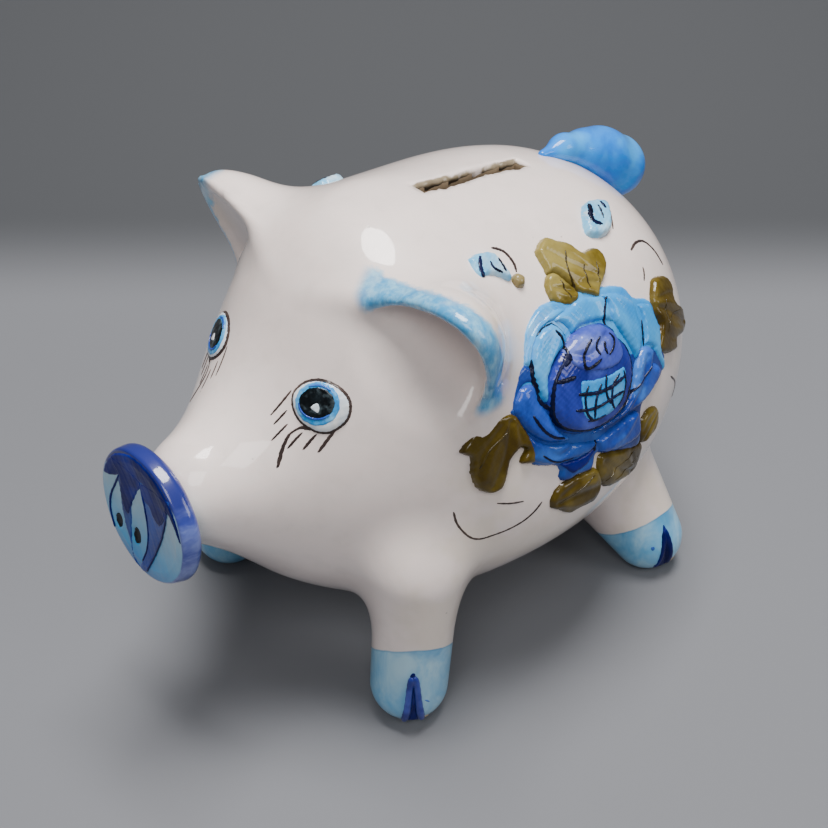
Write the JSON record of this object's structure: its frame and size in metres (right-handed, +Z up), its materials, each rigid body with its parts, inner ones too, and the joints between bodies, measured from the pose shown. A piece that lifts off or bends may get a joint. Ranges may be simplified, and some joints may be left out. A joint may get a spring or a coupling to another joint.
{
  "type": "piggy bank",
  "caption": "Hand-painted ceramic piggy bank standing on splayed feet, with a coin slot in the back and a pull-out belly stopper.",
  "frame": {"origin": "centre of the bounding box in plan, on the surface the feet stand on", "axes": "+Z up, -Y towards the snout, +X towards the pig's left flank"},
  "size_m": [0.1178, 0.1754, 0.1257],
  "materials": {
    "glaze_white": "warm off-white gloss glaze",
    "glaze_navy": "dark blue gloss glaze, brushed",
    "glaze_sky_blue": "light blue gloss glaze, mottled",
    "glaze_eye": "black, blue and white painted eye under gloss glaze",
    "glaze_violet": "violet-blue gloss glaze",
    "glaze_cobalt": "cobalt blue gloss glaze",
    "glaze_olive": "olive brown gloss glaze, brushed",
    "stopper_rubber": "matt"
  },
  "bodies": {
    "pig": {"body_shell": "glaze_white", "snout_disc": "glaze_navy", "tail": "glaze_sky_blue", "ear_left": "glaze_white", "ear_right": "glaze_white", "front_leg_left": "glaze_white", "front_leg_right": "glaze_white", "rear_leg_left": "glaze_white", "rear_leg_right": "glaze_white", "eye_left": "glaze_eye", "eye_right": "glaze_eye", "rose_bud_left": "glaze_violet", "rose_bud_right": "glaze_violet", "rose_petal_1_left": "glaze_sky_blue", "rose_petal_1_right": "glaze_sky_blue", "rose_petal_2_left": "glaze_sky_blue", "rose_petal_2_right": "glaze_sky_blue", "rose_petal_3_left": "glaze_sky_blue", "rose_petal_3_right": "glaze_sky_blue", "rose_petal_4_left": "glaze_sky_blue", "rose_petal_4_right": "glaze_sky_blue", "rose_petal_5_left": "glaze_cobalt", "rose_petal_5_right": "glaze_cobalt", "rose_petal_6_left": "glaze_cobalt", "rose_petal_6_right": "glaze_cobalt", "rose_petal_7_left": "glaze_navy", "rose_petal_7_right": "glaze_navy", "rose_petal_8_left": "glaze_cobalt", "rose_petal_8_right": "glaze_cobalt", "rose_petal_9_left": "glaze_cobalt", "rose_petal_9_right": "glaze_cobalt", "leaf_top_left": "glaze_olive", "leaf_rear_upper_left": "glaze_olive", "leaf_rear_upper_right": "glaze_olive", "leaf_front_left": "glaze_olive", "leaf_front_right": "glaze_olive", "leaf_low_front_left": "glaze_olive", "leaf_low_front_right": "glaze_olive", "leaf_low_rear_left": "glaze_olive", "leaf_low_rear_right": "glaze_olive", "leaf_rear_lower_left": "glaze_olive", "leaf_rear_lower_right": "glaze_olive", "flower_bud_front_left": "glaze_sky_blue", "flower_bud_front_right": "glaze_sky_blue", "flower_bud_rear_left": "glaze_sky_blue", "berry_left": "glaze_olive", "berry_right": "glaze_olive"},
    "stopper": {"belly_stopper": "stopper_rubber"}
  },
  "joints": [
    {"name": "stopper_pull", "type": "slide", "parent": "pig", "child": "stopper", "axis": [0, 0.1856, -0.9826], "range_m": [0, 0.0085]}
  ]
}
